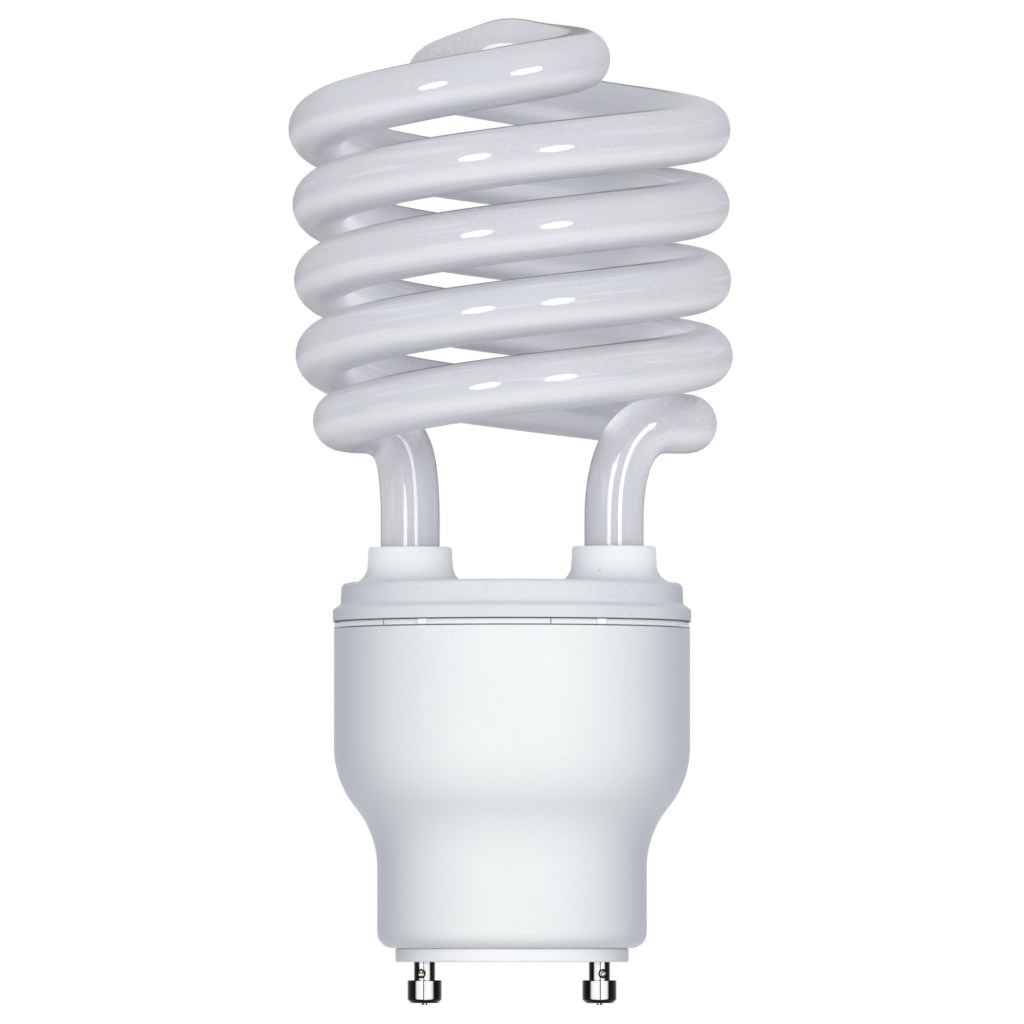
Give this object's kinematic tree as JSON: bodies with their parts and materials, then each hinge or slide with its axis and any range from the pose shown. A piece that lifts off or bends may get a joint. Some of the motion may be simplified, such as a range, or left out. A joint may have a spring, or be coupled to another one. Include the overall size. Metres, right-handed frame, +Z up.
{
  "type": "compact fluorescent lamp",
  "caption": "Spiral fluorescent lamp: a right-handed glass coil with an S-shaped crown stands on a round, flared ballast housing with a twist-lock pin base.",
  "frame": {"origin": "centre of the base disc's underside, midway between the contact pins", "axes": "+Z up the lamp's axis towards the glass, +X towards the right-hand contact pin, -Y towards the viewer of the picture"},
  "size_m": [0.0612, 0.0602, 0.1357],
  "materials": {
    "base_plastic": "satin white moulded plastic",
    "can_aluminium": "plain",
    "dark_sleeve": "gloss",
    "bobbin_plastic": "matt black",
    "ferrite": "matt dark grey",
    "copper_winding": "enamelled copper",
    "board_laminate": "matt paper laminate",
    "plated_pin": "bright nickel plate",
    "film_coating": "gloss dipped coating",
    "diode_glass": "gloss",
    "disc_coating": "gloss dipped coating",
    "tinned_brass": "tinned",
    "resistor_coating": "satin lacquer",
    "housing_plastic": "satin white moulded plastic",
    "black_epoxy": "matt black",
    "phosphor_glass": "phosphor-coated glass, opaque white, glossy",
    "wire_insulation": "satin white insulation",
    "cement": "matt"
  },
  "bodies": {
    "root": {"base_plate": "base_plastic", "capacitor_can": "can_aluminium", "capacitor_sleeve": "dark_sleeve", "choke_bobbin": "bobbin_plastic", "choke_core_lower": "ferrite", "choke_core_upper": "ferrite", "choke_winding": "copper_winding", "circuit_board": "board_laminate", "contact_pin_left": "plated_pin", "contact_pin_right": "plated_pin", "coupling_capacitor": "film_coating", "diac": "diode_glass", "disc_capacitor": "disc_coating", "drive_ring": "ferrite", "drive_winding_1": "copper_winding", "drive_winding_2": "copper_winding", "drive_winding_3": "copper_winding", "filament_wire_left_front": "tinned_brass", "filament_wire_left_rear": "tinned_brass", "filament_wire_right_front": "tinned_brass", "filament_wire_right_rear": "tinned_brass", "filter_choke_core": "ferrite", "filter_choke_winding": "copper_winding", "fuse_resistor": "resistor_coating", "lower_housing": "housing_plastic", "rectifier_diode_1": "black_epoxy", "rectifier_diode_2": "black_epoxy", "rectifier_diode_3": "black_epoxy", "rectifier_diode_4": "black_epoxy", "resistor_1": "resistor_coating", "resistor_2": "resistor_coating", "resistor_3": "resistor_coating", "resistor_4": "resistor_coating", "resonant_capacitor": "film_coating", "spiral_tube": "phosphor_glass", "start_thermistor": "disc_coating", "supply_wire_left": "wire_insulation", "supply_wire_right": "wire_insulation", "transistor_left": "black_epoxy", "transistor_rear": "black_epoxy", "tube_cement_left": "cement", "tube_cement_right": "cement", "upper_cover": "housing_plastic", "wire_post_left_front": "tinned_brass", "wire_post_left_rear": "tinned_brass", "wire_post_right_front": "tinned_brass", "wire_post_right_rear": "tinned_brass"}
  },
  "joints": []
}
